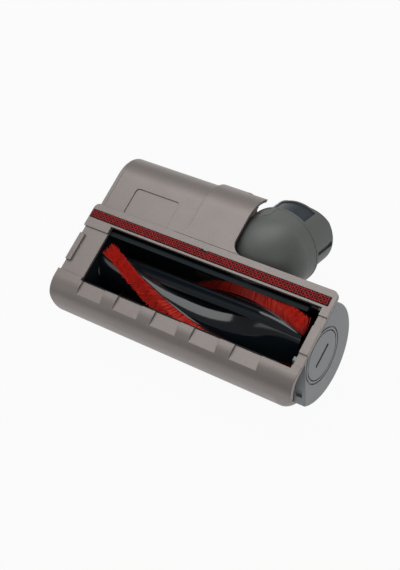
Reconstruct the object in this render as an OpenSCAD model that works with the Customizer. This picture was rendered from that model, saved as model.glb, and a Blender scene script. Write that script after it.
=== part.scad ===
// Powered brush head for a hand-held vacuum cleaner.
// It is drawn with its sole up, y = 0 at the front edge of the mouth, x = 0 at the
// mouth's left end and z = 0 on the sole, and then laid on its back as it rests.

/* [Mouth and sole] */
// Length of the mouth along the brush
mouth_len = 127.2; // [110:0.2:150]
// Width of the mouth from front to rear
mouth_w = 32.6; // [29:0.2:34]
// Width of the left end beside the mouth
left_end = 16.2; // [15.8:0.1:22]
// Width of the right rail beside the mouth
right_rail = 4.7; // [4.4:0.1:8]
// Thickness of the sole plate
plate_t = 2.2; // [1.8:0.1:2.4]
// Depth of the sole frame behind the mouth
frame_w = 9.7; // [9:0.1:11]
// Distance that the left part of the sole frame reaches in front of the mouth's rear edge
frame_step = 4.1; // [3:0.1:6]
// Depth of the left rail below the frame
rail_drop = 0.8; // [0.3:0.1:1.2]
// Distance of the small nib from the mouth's left end
nib_x = 57; // [30:0.5:90]
// Length of the raised rib on the left rail
rib_len = 16; // [8:0.5:22]
// Distance of the raised rib behind the mouth's front edge
rib_y = 7.8; // [4:0.1:9]
// Radius of the outer corners of the sole frame
frame_corner = 3; // [1:0.5:3.5]
// Width of the fibre strip
felt_w = 4.9; // [4:0.1:5.5]
// Height that the fibre strip stands above the sole
felt_proud = 0.4; // [0.2:0.1:1]
// Depth of the channel that holds the fibre strip
felt_seat = 1.3; // [0.8:0.1:1.5]

/* [Front shell] */
// Distance from the brush chamber to the outside of the shell
shell_space = 10.5; // [9.8:0.1:12]
// Wall of the front shell
shell_wall = 2.2; // [1.8:0.1:2.4]
// Distance of the brush axis behind the mouth's front edge
axis_y = 14.8; // [14:0.1:15.6]
// Height that the bristles stand out of the sole
brush_proud = 2.4; // [1.4:0.1:3]
// Radius that blends the sole into the front
front_round = 12; // [9:0.5:12.5]
// Number of pockets in the front bar
pocket_count = 5; // [3:1:5]
// Length of a pocket along the front bar
pocket_len = 15.4; // [10:0.2:17]
// Distance from one pocket to the next
pocket_pitch = 23.7; // [20:0.1:24]
// Depth of a pocket below the sole
pocket_depth = 1.15; // [0.6:0.05:1.4]
// Depth of the wing that runs on over the end cap
wing_depth = 8; // [4:0.5:12]
// Clearance between the bristle tips and the brush chamber
tip_air = 1.2; // [0.8:0.1:1.6]
// Wall of the brush chamber
chamber_wall = 1.6; // [1.2:0.1:1.8]
// Width of the intake window in the chamber's rear wall
intake_len = 71; // [40:1:76]
// Height of the intake window
intake_h = 9; // [5:0.5:9]
// Distance of the intake window's upper edge below the brush axis
intake_drop = 5.6; // [4:0.2:7]

/* [Motor housing] */
// Distance between the motor can and its housing
motor_space = 1.9; // [1.6:0.1:2.6]
// Distance that the motor housing laps onto the front shell
pod_lap = 0.3; // [0.1:0.1:1]
// Depth of the motor housing's flat below the sole
pod_drop = 1.5; // [1:0.1:1.8]
// Wall of the motor housing
pod_wall = 2; // [1.6:0.1:2.2]
// Distance of the motor housing's left end from the shell's left end
pod_inset = 2.1; // [1.5:0.1:3]
// Width of the bare recess in the motor housing
recess_len = 28; // [16:0.5:30]
// Distance from the sole frame to the rear edge of the bare recess
recess_w = 15.8; // [10:0.2:16.4]
// Depth of the bare recess
recess_depth = 0.6; // [0.3:0.1:0.8]

/* [Hood] */
// Width of the hood along the brush
hood_len = 27.9; // [24:0.1:30]
// Wall of the hood
hood_wall = 1.4; // [1:0.1:1.4]
// Radius of the hollow corners that join the hood to the sole frame
hood_corner = 7; // [4:0.5:9]
// Depth of the hood's brow over the neck
brow_depth = 9; // [6:0.5:9.5]

/* [Neck] */
// Distance between the motor can and the elbow
neck_space = 18.5; // [18:0.1:22]
// Depth that the elbow sits inside the front shell
socket_depth = 9.8; // [9:0.1:10.2]
// Depth of the elbow below the sole
elbow_drop = 1; // [0.8:0.1:2]
// Distance that the elbow stands outside the tube
elbow_step = 2.4; // [2:0.1:2.6]
// Wall of the elbow
elbow_wall = 2; // [1.6:0.1:2.1]
// Distance of the elbow's rim from the swivel axis
rim_reach = 10.4; // [9:0.1:12]
// Outer diameter of the connecting tube
tube_d = 38; // [37:0.1:38.2]
// Wall of the connecting tube
tube_wall = 2.6; // [2:0.1:3]
// Length of the tube beyond the elbow's rim
tube_len = 19; // [17:0.5:30]
// Depth of the saddle cut into the tube's end towards the sole
saddle_depth = 4.1; // [2:0.1:5]
// Angle that the tube's window spans
window_angle = 65.5; // [40:0.5:80]
// Depth of the contact block below the tube's surface
contact_depth = 0.6; // [0.3:0.1:1.2]
// Slope of the neck from the sole at rest
neck_angle = 37; // [30:1:45]
// Angle that the neck swings down from rest
swing_down = 41; // [30:1:42]
// Wall between the swivel journal and the front shell
journal_space = 1.6; // [1.5:0.1:4]

/* [End cap] */
// Distance of the end cap's edge inside the front shell
cap_step = 3.1; // [2.9:0.1:4]
// Width of the end cap's rim
cap_t = 6.8; // [6.6:0.1:8]
// Distance of the cut across the cap's front from its centre
cap_chord = 15.4; // [14:0.1:18]
// Width of the gap round the coin lock
lock_air = 0.6; // [0.4:0.05:0.8]
// Length of the coin slot
slot_len = 13; // [8:0.5:18]
// Width of the coin slot
slot_w = 2; // [1:0.1:2.4]

/* [Brush] */
// Radius to the tips of the bristles
brush_r = 17.8; // [17:0.1:18.6]
// Radius of the brush bar over its two lobes
bar_r = 12; // [10.5:0.1:12.4]
// Depth of the brush bar's waist between its two lobes
bar_waist = 5.4; // [4:0.1:6]
// Twist of the brush bar from end to end, in degrees
bar_twist = 186; // [120:2:200]
// Width of a bristle row at its root
row_w = 4.4; // [3:0.1:5]
// Width of a bristle row at its tips
row_tip_w = 6.8; // [4:0.1:7.4]

/* [Drive] */
// Teeth on the motor pinion
pinion_teeth = 12; // [12:1:13]
// Teeth on the driven pulley
pulley_teeth = 24; // [22:1:26]
// Pitch of the belt teeth
belt_pitch = 2.032; // [1.9:0.002:2.1]
// Width of the belt
belt_w = 5; // [4:0.5:5]
// Radius of the motor can
motor_r = 13.9; // [12:0.1:14.2]
// Length of the motor can
motor_len = 38; // [30:0.5:38]
// Radius of the motor shaft
shaft_r = 1.15; // [1:0.05:1.5]

/* [Fits] */
// Radial clearance of a shaft in its bore
run_gap = 0.05; // [0.02:0.01:0.08]
// Gap between shells that meet
seam = 0.1; // [0.05:0.05:0.2]
// Gap round the elbow in its socket
ball_gap = 0.5; // [0.4:0.05:0.8]
// Gap between the end cap and the sole plate
cap_gap = 0.3; // [0.2:0.05:0.5]

/* [Hidden] */
$fn = 96;
eps = 0.01;
big = 400;
sink = 0.015;

plastic_grey = [0.56, 0.53, 0.51];
cap_grey = [0.50, 0.52, 0.54];
neck_grey = [0.40, 0.41, 0.39];
black = [0.06, 0.07, 0.08];
red = [0.86, 0.11, 0.09];
felt_red = [0.45, 0.05, 0.05];
steel = [0.72, 0.73, 0.75];
brass = [0.80, 0.66, 0.34];

// Ends of the head along the brush
x_left = -left_end;
x_right = mouth_len + right_rail;
x_cap = x_right - cap_t;
x_bore = x_cap - 0.3;
// Brush chamber and shell round the brush axis
chamber_r = brush_r + tip_air;
shell_r = chamber_r + shell_space;
axis_z = brush_r - brush_proud;
// Lines of the sole from front to rear
seam_y = 1.8;
frame_y0 = mouth_w - frame_step;
frame_y1 = mouth_w + frame_w;
felt_y0 = mouth_w + 1.2;
rail_x0 = x_left + 1;
// Front round, set inside the shell's circle
front_y = axis_y - sqrt(pow(shell_r - front_round, 2) - pow(axis_z - front_round, 2));
front_tip = (axis_z - front_round) / (shell_r - front_round);
// Motor housing
pod_x0 = x_left + pod_inset;
cover_t = 2;
pod_r = motor_r + motor_space + pod_wall;
pod_y = axis_y + shell_r + pod_r - pod_lap;
pod_z = pod_drop + pod_r;
web_angle = -58;
pod_low_angle = -84;
// Motor and the neck beside it
bulkhead_x0 = -2;
motor_x0 = 1;
motor_x1 = motor_x0 + motor_len;
bell_t = 4;
tube_r = tube_d / 2;
tube_in = tube_r - tube_wall;
elbow_r = tube_r + elbow_step;
neck_x = motor_x1 + neck_space + elbow_r;
pivot_y = axis_y + shell_r + elbow_r - socket_depth;
pivot_z = elbow_drop + elbow_r;
// Hood, flush with the sole frame
hood_r = pod_r + pod_drop;
hood_x1 = neck_x - 9.6;
hood_x0 = hood_x1 - hood_len;
pod_x1 = neck_x - elbow_r - 0.9;
// Neck
rim_r = elbow_r + 0.1;
tube_seat = 7;
tube_end = rim_reach + tube_len;
journal_x0 = pod_x1 - 6.4;
collar_t = 2;
journal_r = min(elbow_r - socket_depth - journal_space,
    pod_z + pod_r - pod_wall - pivot_z - collar_t);
journal_bore = journal_r - 2.5;
journal_x1 = neck_x - sqrt(pow(elbow_r - elbow_wall, 2) - pow(journal_bore, 2));
saddle_w = 13;
saddle_run = 9.5;
window_s0 = rim_reach + 0.3;
window_s1 = tube_end - saddle_depth - 1;
key_w = 2.8;
key_depth = 1.2;
port_r = 10.2;
port_z = pivot_z - 5.2;
socket_wall = 1.8;
// Drive train, from the left end towards the brush
pulley_r = pulley_teeth * belt_pitch / (2 * PI);
pinion_r = pinion_teeth * belt_pitch / (2 * PI);
belt_x0 = x_left + 5;
belt_t = 1.2;
belt_air = 0.15;
flange_t = 0.8;
hub_r = 5;
bearing_r = 8.5;
wall_x0 = -4.4;
wall_x1 = -0.8;
stub_r = 2;
// End cap stack along the brush axis
cap_r = shell_r - cap_step;
lock_r = axis_z - plate_t - lock_air;
plate_x = x_right - 3.5;
lock_t = 1.5;
lock_stem_r = 5;
hub_out = 10.6;
holder_r = 9;
end_bearing_r = 6;
spindle_r = 2.5;
pilot_r = cap_r - 3;
pilot_len = 4.2;
// Brush
bar_x0 = 1;
bar_x1 = x_cap - 1.9;
row_x0 = bar_x0 + 6;
row_x1 = bar_x1 - 1;
row_start = 60.5;
lip_t = 1;
lip_h = 0.3;
groove_r = 9;
waist_r = bar_r - bar_waist;
bar_end_r = waist_r - 0.4;
bar_len = bar_x1 - bar_x0;
bar_slices = 60;

// How the head lies: on the back of the front shell and on the end of the neck tube
heel_y = pivot_y + tube_end * cos(neck_angle) - tube_r * sin(neck_angle);
heel_z = -pivot_z - tube_end * sin(neck_angle) - tube_r * cos(neck_angle);
heel_d = norm([heel_y - axis_y, heel_z + axis_z]);
lie_angle = asin(-shell_r / heel_d) - atan2(heel_z + axis_z, heel_y - axis_y);
function lie_y(y, z) = y * cos(lie_angle) - z * sin(lie_angle);
function lie_z(y, z) = y * sin(lie_angle) + z * cos(lie_angle);
neck_run = cos(neck_angle - lie_angle);
neck_rise = sin(neck_angle - lie_angle);
saddle_slope = saddle_depth / saddle_run;
saddle_foot = tube_end - saddle_depth - saddle_slope * saddle_w / 2;
rear_y = lie_y(pivot_y, -pivot_z) + neck_run * saddle_foot
    + tube_r * norm([neck_run * saddle_slope, neck_rise]);
fore_y = lie_y(axis_y, -axis_z) - shell_r;
floor_z = lie_z(axis_y, -axis_z) - shell_r;

module lie() {
    translate([-(x_left + x_right) / 2, -(fore_y + rear_y) / 2, -floor_z])
        rotate([lie_angle, 0, 0])
            children();
}

// Extrudes an outline drawn as (y, z) along the brush from x0 to x1
module along(x0, x1) {
    translate([x0, 0, 0])
        rotate([90, 0, 90])
            linear_extrude(x1 - x0)
                children();
}

module rod(r, x0, x1, y, z) {
    translate([x0, y, z])
        rotate([0, 90, 0])
            cylinder(r = r, h = x1 - x0);
}

module brush_rod(r, x0, x1) {
    rod(r, x0, x1, axis_y, -axis_z);
}

module ring(r_out, r_in, x0, x1, y, z) {
    difference() {
        rod(r_out, x0, x1, y, z);
        rod(r_in, x0 - eps, x1 + eps, y, z);
    }
}

module slab(x0, x1, y0, y1, z0, z1) {
    translate([x0, y0, z0])
        cube([x1 - x0, y1 - y0, z1 - z0]);
}

// Places children on the neck's axis, with +Z out of the tube, +Y towards the sole and
// +X towards the left end of the head
module on_neck() {
    translate([neck_x, pivot_y, -pivot_z])
        rotate([-90 - neck_angle, 0, 0])
            rotate([0, 0, 180])
                children();
}

// Places children at the swivel centre
module at_pivot() {
    translate([neck_x, pivot_y, -pivot_z])
        children();
}

// Outline of the head round the brush, drawn as (y, z) and set inwards
module head_outline(inset) {
    difference() {
        intersection() {
            translate([axis_y, -axis_z])
                circle(shell_r - inset);
            translate([-big / 2, -big])
                square([big, big - inset]);
        }
        difference() {
            polygon([[front_y, -inset], [front_y, -front_round],
                [front_y - shell_r, -front_round + shell_r * tan(asin(front_tip))],
                [front_y - shell_r, shell_r], [front_y, shell_r]]);
            translate([front_y, -front_round])
                circle(front_round - inset);
        }
    }
}

// Motor housing's outer form, or its hollow where it is set inwards
module pod_form(x0, x1, inset) {
    low = [pod_y + (pod_r - inset) * cos(pod_low_angle),
        -pod_z + (pod_r - inset) * sin(pod_low_angle)];
    web = [axis_y + (shell_r - inset) * cos(web_angle),
        -axis_z + (shell_r - inset) * sin(web_angle)];
    difference() {
        union() {
            rod(pod_r - inset, x0, x1, pod_y, -pod_z);
            along(x0, x1)
                polygon([[axis_y + 10, -pod_drop - inset - sink],
                    [pod_y, -pod_drop - inset - sink],
                    [pod_y, -pod_z],
                    low,
                    web,
                    [axis_y + 10, -axis_z]]);
        }
        brush_rod(shell_r + seam, x0 - 1, x1 + 1);
        slab(x0 - 1, x1 + 1, -big, frame_y1 + seam, -plate_t - seam - inset, big);
    }
}

module front_shell() {
    color(plastic_grey)
        difference() {
            union() {
                intersection() {
                    along(x_left, x_bore)
                        head_outline(0);
                    translate([0, axis_y, -axis_z])
                        rotate([0, 90, 0])
                            rotate_extrude()
                                shell_side();
                }
                wing();
            }
            difference() {
                along(x_left + shell_wall, x_right + 1)
                    head_outline(shell_wall);
                inner_bulkhead();
                left_boss();
            }
            // Mouth, and the seats of the sole plate behind and beside it
            slab(0, mouth_len, 0, big, -plate_t - eps, 1);
            slab(x_left - 1, x_right + 1, seam_y, big, -plate_t, 1);
            pockets();
            at_pivot()
                sphere(elbow_r + ball_gap + socket_wall + seam);
            belt_window();
            brush_rod(stub_r + run_gap, x_left + 1.4, x_left + 6);
        }
}

// Part of the skin that runs on over the end cap at the front of the sole
module wing() {
    intersection() {
        along(x_bore - 3, x_right)
            difference() {
                head_outline(0);
                head_outline(shell_wall);
            }
        slab(x_bore - 4, x_right + 1, -big / 2, seam_y, -wing_depth, 1);
    }
}

// Side of the front shell as (radius, distance), with rounded ends
module shell_side() {
    end_round = 2.5;
    edge_round = 1.2;
    difference() {
        translate([0, x_left])
            square([shell_r, x_bore - x_left]);
        round_off(shell_r, x_left, edge_round, 1);
        round_off(shell_r, x_bore, end_round, -1);
    }
}

// Waste at a rounded corner of a revolved side
module round_off(r, x, fillet, way) {
    difference() {
        translate([r - fillet, way > 0 ? x - 1 : x - fillet])
            square([fillet + 1, fillet + 1]);
        translate([r - fillet, x + way * fillet])
            circle(fillet);
    }
}

// Inner ring near the right end that guides the end cap
module inner_bulkhead() {
    difference() {
        brush_rod(shell_r, x_bore - 3.5, x_bore);
        brush_rod(pilot_r + seam, x_bore - 4, x_bore + 1);
    }
}

// Boss on the inside of the left end that carries the driven pulley's stub
module left_boss() {
    brush_rod(hub_r, x_left + 1, x_left + 3.8);
}

module pockets() {
    first = (mouth_len - (pocket_count - 1) * pocket_pitch - pocket_len) / 2 - 7.1;
    for (i = [0 : pocket_count - 1])
        slab(first + i * pocket_pitch, first + i * pocket_pitch + pocket_len,
            -shell_r, 1, -pocket_depth, 1);
}

// Window for the belt between the front shell and the motor housing
module belt_window() {
    slab(belt_x0 - 1.2, belt_x0 + belt_w + 1.2, axis_y + pulley_r, pod_y,
        -axis_z - pulley_r - 4, -axis_z + pulley_r + 3);
}

module sole_plate() {
    color(plastic_grey)
        difference() {
            union() {
                sole_frame();
                slab(rail_x0, 0, seam_y + seam, frame_y0 + 1, -plate_t, -rail_drop);
                slab(mouth_len, x_right, seam_y + seam, frame_y0 + 1, -plate_t, -rail_drop);
                // Raised rib on the left rail and raised block on the right rail
                slab(rail_x0, rail_x0 + 3.2, rib_y, rib_y + rib_len, -rail_drop, 0.5);
                slab(mouth_len, x_right, rib_y + 0.5, rib_y + rib_len - 1, -rail_drop, 0);
            }
            slab(x_left + 0.6, x_right - 2.3, felt_y0, felt_y0 + felt_w, -felt_seat, 1);
        }
    // Small nib that holds the rear edge of the fibre strip
    color(plastic_grey)
        intersection() {
            translate([nib_x, felt_y0 + felt_w + 0.2, -felt_seat])
                cylinder(r = 1.3, h = felt_seat);
            slab(nib_x - 3, nib_x + 3, felt_y0, felt_y0 + felt_w, -felt_seat, 0);
        }
}

// Raised frame of the sole behind the mouth, with rounded rear corners
module sole_frame() {
    difference() {
        slab(x_left + 0.2, x_right, frame_y0, frame_y1, -plate_t, 0);
        slab(0, mouth_len, frame_y0 - 1, mouth_w, -plate_t - 1, 1);
        frame_corner_waste(x_left + 0.2, 1);
        frame_corner_waste(x_right, -1);
    }
}

module frame_corner_waste(x, way) {
    difference() {
        slab(way > 0 ? x - 1 : x - frame_corner, way > 0 ? x + frame_corner : x + 1,
            frame_y1 - frame_corner, frame_y1 + 1, -plate_t - 1, 1);
        translate([x + way * frame_corner, frame_y1 - frame_corner, -plate_t - 2])
            cylinder(r = frame_corner, h = plate_t + 4);
    }
}

module felt_strip() {
    color(felt_red)
        difference() {
            slab(x_left + 0.7, x_right - 2.4, felt_y0 + 0.1, felt_y0 + felt_w - 0.1,
                -felt_seat, felt_proud);
            translate([nib_x, felt_y0 + felt_w + 0.2, -felt_seat - 1])
                cylinder(r = 1.6, h = 4);
        }
}

module chamber_liner() {
    color(black)
        difference() {
            union() {
                brush_rod(chamber_r + chamber_wall, wall_x1 - 1.4, x_bore - 4.4);
                brush_rod(bearing_r + 2, wall_x0, wall_x1);
            }
            brush_rod(chamber_r, wall_x1, x_right);
            brush_rod(bearing_r + seam, wall_x0 - 1, wall_x1 - 0.8);
            brush_rod(hub_r + 1, wall_x0 - 1, wall_x1 + 1);
            slab(x_left, x_right, -big / 2, big, -plate_t - seam, big);
            duct_hole(port_r);
            // Intake window, behind and below the brush
            slab(neck_x - intake_len / 2, neck_x + intake_len / 2, axis_y + eps, big,
                -axis_z - intake_drop - intake_h, -axis_z - intake_drop);
        }
}

// Hole from the brush chamber to the neck
module duct_hole(r) {
    translate([neck_x, axis_y, -port_z])
        rotate([-90, 0, 0])
            cylinder(r = r, h = shell_r + 20);
}

module neck_socket() {
    color(black)
        difference() {
            intersection() {
                difference() {
                    at_pivot()
                        sphere(elbow_r + ball_gap + socket_wall);
                    brush_rod(chamber_r + chamber_wall + seam, -1, x_right);
                }
                brush_rod(shell_r - 0.4, neck_x - shell_r, neck_x + shell_r);
            }
            duct_hole(port_r);
            at_pivot()
                sphere(elbow_r + ball_gap);
            // Room for the elbow's straight part when the neck is swung down
            at_pivot()
                rotate([-90 - neck_angle - swing_down, 0, 0])
                    cylinder(r = elbow_r + ball_gap + seam, h = shell_r);
            slab(x_left, x_right, -big / 2, big, -plate_t - seam, big);
            seal_space(0.05);
        }
}

// Ring-shaped layer on the socket's seat
module seal_space(grow) {
    intersection() {
        difference() {
            duct_hole(port_r + 2.2 + grow);
            duct_hole(port_r + 0.8 - grow);
        }
        slab(neck_x - 20, neck_x + 20, axis_y + chamber_r - 5, pivot_y, -big, 0);
        difference() {
            at_pivot()
                sphere(elbow_r + ball_gap + 0.8 + grow);
            at_pivot()
                sphere(elbow_r + 0.3 - grow);
        }
    }
}

module neck_seal() {
    color(black)
        seal_space(0);
}

module motor_housing() {
    color(plastic_grey)
        difference() {
            pod_form(pod_x0 + cover_t, pod_x1, 0);
            pod_form(pod_x0, pod_x1 - pod_wall, pod_wall);
            // Way for the belt from the front shell
            belt_window();
            recess();
            // Bearing of the swivel journal
            rod(journal_r + run_gap, pod_x1 - 10, pod_x1 + 1, pivot_y, -pivot_z);
        }
    color(plastic_grey)
        ring(journal_r + collar_t, journal_r + run_gap, pod_x1 - 4, pod_x1 - pod_wall + eps,
            pivot_y, -pivot_z);
    // Bosses of the cover's screws
    color(plastic_grey)
        for (p = screw_places())
            difference() {
                union() {
                    rod(3.2, pod_x0 + cover_t, pod_x0 + cover_t + 5, p[0], p[1]);
                    intersection() {
                        slab(pod_x0 + cover_t, pod_x0 + cover_t + 5, p[0] - 1, p[0] + 1,
                            p[1] < -pod_z ? -big : p[1], p[1] < -pod_z ? p[1] : 0);
                        pod_form(pod_x0 + cover_t, pod_x0 + cover_t + 5, 1);
                    }
                }
                rod(1.5, pod_x0, pod_x0 + cover_t + 3.5, p[0], p[1]);
            }
}

// Bare rounded recess beside the hood
module recess() {
    x0 = 1;
    corner = 2;
    length = recess_len - 2 * corner;
    translate([x0 + corner, frame_y1 - 2, -pod_drop - recess_depth])
        linear_extrude(recess_depth + 1) {
            square([length, recess_w + 2]);
            translate([-corner, 0])
                square([length + 2 * corner, recess_w + 2 - corner]);
            for (x = [0, length])
                translate([x, recess_w + 2 - corner])
                    circle(corner);
        }
}

module hood() {
    color(plastic_grey)
        difference() {
            union() {
                along(hood_x0, hood_x1) {
                    translate([pod_y, -pod_z])
                        circle(hood_r);
                    translate([frame_y1 + seam, -pod_z])
                        square([pod_y - frame_y1 - seam, pod_z]);
                }
                hood_fillets();
            }
            hood_hollow();
            // The brow over the neck ends above the swinging tube
            slab(pod_x1, big, 0, big, -big, -brow_depth);
            // Behind the motor housing the hood ends part way down
            slab(0, big, 0, big, -big, -pod_z - 8);
            slab(0, big, 0, pod_y - 6, -big, -pod_drop - hood_wall);
        }
}

// Hollow corners between the hood and the sole frame
module hood_fillets() {
    difference() {
        slab(hood_x0 - hood_corner, hood_x1 + hood_corner, frame_y1 + seam,
            frame_y1 + seam + hood_corner, -hood_wall, 0);
        for (x = [hood_x0 - hood_corner, hood_x1 + hood_corner])
            translate([x, frame_y1 + seam + hood_corner, -10])
                cylinder(r = hood_corner, h = 20);
        slab(hood_x0 - hood_corner - 1, hood_x1 + hood_corner + 1,
            frame_y1 + seam + hood_corner, frame_y1 + seam + 20, -10, 10);
    }
}

module hood_hollow() {
    along(hood_x0 - 20, hood_x1 + 20) {
        translate([pod_y, -pod_z])
            circle(pod_r + seam);
        translate([0, -pod_z])
            square([pod_y, pod_z - pod_drop + seam]);
    }
}

module belt_cover() {
    color(plastic_grey)
        difference() {
            pod_form(pod_x0, pod_x0 + cover_t - 0.05, 0);
            for (p = screw_places())
                rod(1.7, pod_x0 - 1, pod_x0 + 4, p[0], p[1]);
            for (p = screw_places())
                rod(3, pod_x0 - 1, pod_x0 + 1, p[0], p[1]);
        }
}

function screw_places() = [[pod_y + 9, -pod_z + 9], [pod_y - 12, -pod_z - 12]];

// Screw with a round head, its head's top at x and its shank towards +X
module screw(x, y, z, head_r, head_t, shank_r, shank_len, slot) {
    difference() {
        union() {
            rod(head_r, x, x + head_t, y, z);
            rod(shank_r, x, x + head_t + shank_len, y, z);
        }
        slab(x - 1, x + slot, y - head_r * 0.7, y + head_r * 0.7, z - 0.3, z + 0.3);
        slab(x - 1, x + slot, y - 0.3, y + 0.3, z - head_r * 0.7, z + head_r * 0.7);
    }
}

module cover_screws() {
    color(steel)
        for (p = screw_places())
            screw(pod_x0 - 0.3, p[0], p[1], 2.8, 1.3, 1.5, 4, 0.7);
}

module motor_bulkhead() {
    color(black)
        difference() {
            rod(pod_r - pod_wall - seam, bulkhead_x0, motor_x0, pod_y, -pod_z);
            rod(5, bulkhead_x0 - 1, motor_x0 + 1, pod_y, -pod_z);
            for (a = [0, 180])
                rod(1.35, bulkhead_x0 - 1, motor_x0 + 1,
                    pod_y + 8.5 * cos(a), -pod_z + 8.5 * sin(a));
        }
}

module motor_screws() {
    color(steel)
        for (a = [0, 180])
            screw(bulkhead_x0 - 1.2, pod_y + 8.5 * cos(a), -pod_z + 8.5 * sin(a),
                2.2, 1.2, 1.2, 5, 0.6);
}

module motor_can() {
    color(steel)
        difference() {
            union() {
                rod(motor_r, motor_x0, motor_x1, pod_y, -pod_z);
                rod(4, motor_x0 - 2, motor_x0 + 1, pod_y, -pod_z);
            }
            rod(shaft_r + run_gap, motor_x0 - 3, motor_x1 + 1, pod_y, -pod_z);
            for (a = [0, 180])
                rod(1.25, motor_x0 - 1, motor_x0 + 4,
                    pod_y + 8.5 * cos(a), -pod_z + 8.5 * sin(a));
        }
}

module motor_end_bell() {
    color(black)
        difference() {
            union() {
                rod(motor_r - 0.5, motor_x1, motor_x1 + bell_t, pod_y, -pod_z);
                for (s = [-1, 1])
                    slab(motor_x1 + 1, motor_x1 + bell_t + 1.6, pod_y + s * 8 - 1.5,
                        pod_y + s * 8 + 1.5, -pod_z - 0.4, -pod_z + 0.4);
            }
            rod(shaft_r + run_gap, motor_x1 - 1, motor_x1 + 2.5, pod_y, -pod_z);
        }
}

module motor_cushion() {
    color(black)
        ring(pod_r - pod_wall - seam, motor_r + 0.05, motor_x1 - 6, motor_x1 - 2,
            pod_y, -pod_z);
}

module circuit_board() {
    board_x = motor_x1 + bell_t + 1.6;
    color([0.07, 0.30, 0.18]) {
        difference() {
            slab(board_x, board_x + 1.2, pod_y - 10, pod_y + 10, -pod_z - 11.5, -pod_z + 11.5);
            rod(2, board_x - 1, board_x + 3, pod_y, -pod_z);
        }
        slab(board_x + 1.2, board_x + 2.6, pod_y + 3, pod_y + 8, -pod_z + 3, -pod_z + 8);
        slab(board_x + 1.2, board_x + 3.2, pod_y - 7, pod_y - 3, -pod_z - 8, -pod_z - 2);
    }
}

module rotor_shaft() {
    color(steel)
        rod(shaft_r, belt_x0 - 0.4, motor_x1 + 2, pod_y, -pod_z);
}

// Toothed wheel of a toothed belt, its teeth cut as round-bottomed grooves
module toothed(r, teeth, x0, x1, y, z) {
    difference() {
        rod(r, x0, x1, y, z);
        for (i = [0 : teeth - 1])
            rod(0.42, x0 - 1, x1 + 1, y + r * cos(i * 360 / teeth), z + r * sin(i * 360 / teeth));
    }
}

module drive_pinion() {
    color(steel)
        difference() {
            union() {
                toothed(pinion_r - belt_air, pinion_teeth, belt_x0, belt_x0 + belt_w + 0.4,
                    pod_y, -pod_z);
                rod(pinion_r + 1.1, belt_x0 + belt_w + 0.4, belt_x0 + belt_w + 1.2, pod_y, -pod_z);
            }
            rod(shaft_r + 0.01, belt_x0 - 1, belt_x0 + belt_w + 3, pod_y, -pod_z);
        }
}

// Loop round both pulleys at a distance from their pitch circles
module belt_loop(x0, x1, out) {
    dy = pod_y - axis_y;
    dz = axis_z - pod_z;
    tilt = atan2(dz, dy);
    spread = acos((pulley_r - pinion_r) / norm([dy, dz]));
    up = [cos(tilt + spread), sin(tilt + spread)];
    down = [cos(tilt - spread), sin(tilt - spread)];
    brush_rod(pulley_r + out, x0, x1);
    rod(pinion_r + out, x0, x1, pod_y, -pod_z);
    along(x0, x1)
        polygon([[axis_y, -axis_z] + (pulley_r + out - sink) * up,
            [pod_y, -pod_z] + (pinion_r + out - sink) * up,
            [pod_y, -pod_z] + (pinion_r + out - sink) * down,
            [axis_y, -axis_z] + (pulley_r + out - sink) * down]);
}

module drive_belt() {
    color(black)
        difference() {
            belt_loop(belt_x0 + 0.2, belt_x0 + 0.2 + belt_w, belt_t);
            belt_loop(belt_x0, belt_x0 + 0.4 + belt_w, belt_air);
        }
}

module driven_pulley() {
    color([0.85, 0.84, 0.80])
        difference() {
            union() {
                toothed(pulley_r - belt_air, pulley_teeth, belt_x0, belt_x0 + belt_w + 0.4,
                    axis_y, -axis_z);
                brush_rod(pulley_r + 1.6, belt_x0 - flange_t, belt_x0);
                brush_rod(pulley_r + 1.6, belt_x0 + belt_w + 0.4, belt_x0 + belt_w + 0.4 + flange_t);
                brush_rod(hub_r, belt_x0, bar_x0 - 0.6);
                brush_rod(stub_r, x_left + 1.7, belt_x0);
            }
            dog_hole(4.0);
        }
}

// Six-sided hole in the driven pulley that takes the brush's dog
module dog_hole(r) {
    translate([bar_x0 - 5, axis_y, -axis_z])
        rotate([0, 90, 0])
            cylinder(r = r, h = 6, $fn = 6);
}

module pulley_bearing() {
    color(steel)
        ring(bearing_r, hub_r + run_gap, wall_x0, wall_x1 - 0.8, axis_y, -axis_z);
}

module neck_elbow() {
    color(neck_grey)
        difference() {
            union() {
                at_pivot()
                    sphere(elbow_r);
                on_neck()
                    cylinder(r = elbow_r - 0.03, h = rim_reach);
                on_neck()
                    translate([0, 0, rim_reach - 1.5])
                        cylinder(r = rim_r, h = 1.5);
                // Hollow journal on which the neck swivels
                rod(journal_r, journal_x0, journal_x1, pivot_y, -pivot_z);
                // Low rib along the joint line of the moulding
                intersection() {
                    on_neck()
                        rotate([0, 0, -13])
                            translate([-1.6, 0, 0])
                                cube([3.2, elbow_r + 0.1, rim_reach - 1.5]);
                    on_neck()
                        cylinder(r = elbow_r + 0.4, h = rim_reach);
                }
            }
            at_pivot()
                sphere(elbow_r - elbow_wall);
            on_neck()
                translate([0, 0, tube_seat])
                    cylinder(r = tube_r + run_gap, h = elbow_r);
            rod(journal_bore, journal_x0 - 1, neck_x, pivot_y, -pivot_z);
            // Inlet that faces the duct
            translate([neck_x, pivot_y, -port_z])
                rotate([90, 0, 0])
                    cylinder(r = port_r - 0.5, h = elbow_r + 5);
        }
}

module neck_tube() {
    color(neck_grey)
        on_neck()
            difference() {
                translate([0, 0, tube_seat])
                    cylinder(r = tube_r, h = tube_end - tube_seat);
                translate([0, 0, tube_seat - 1])
                    cylinder(r = tube_in, h = tube_end);
                contact_window(0);
                tube_saddle();
                // Key groove along the side
                translate([-tube_r - 1, 0.9 - key_w, rim_reach + 1.6])
                    cube([key_depth + 1, key_w, tube_len - 2.6]);
            }
}

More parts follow.
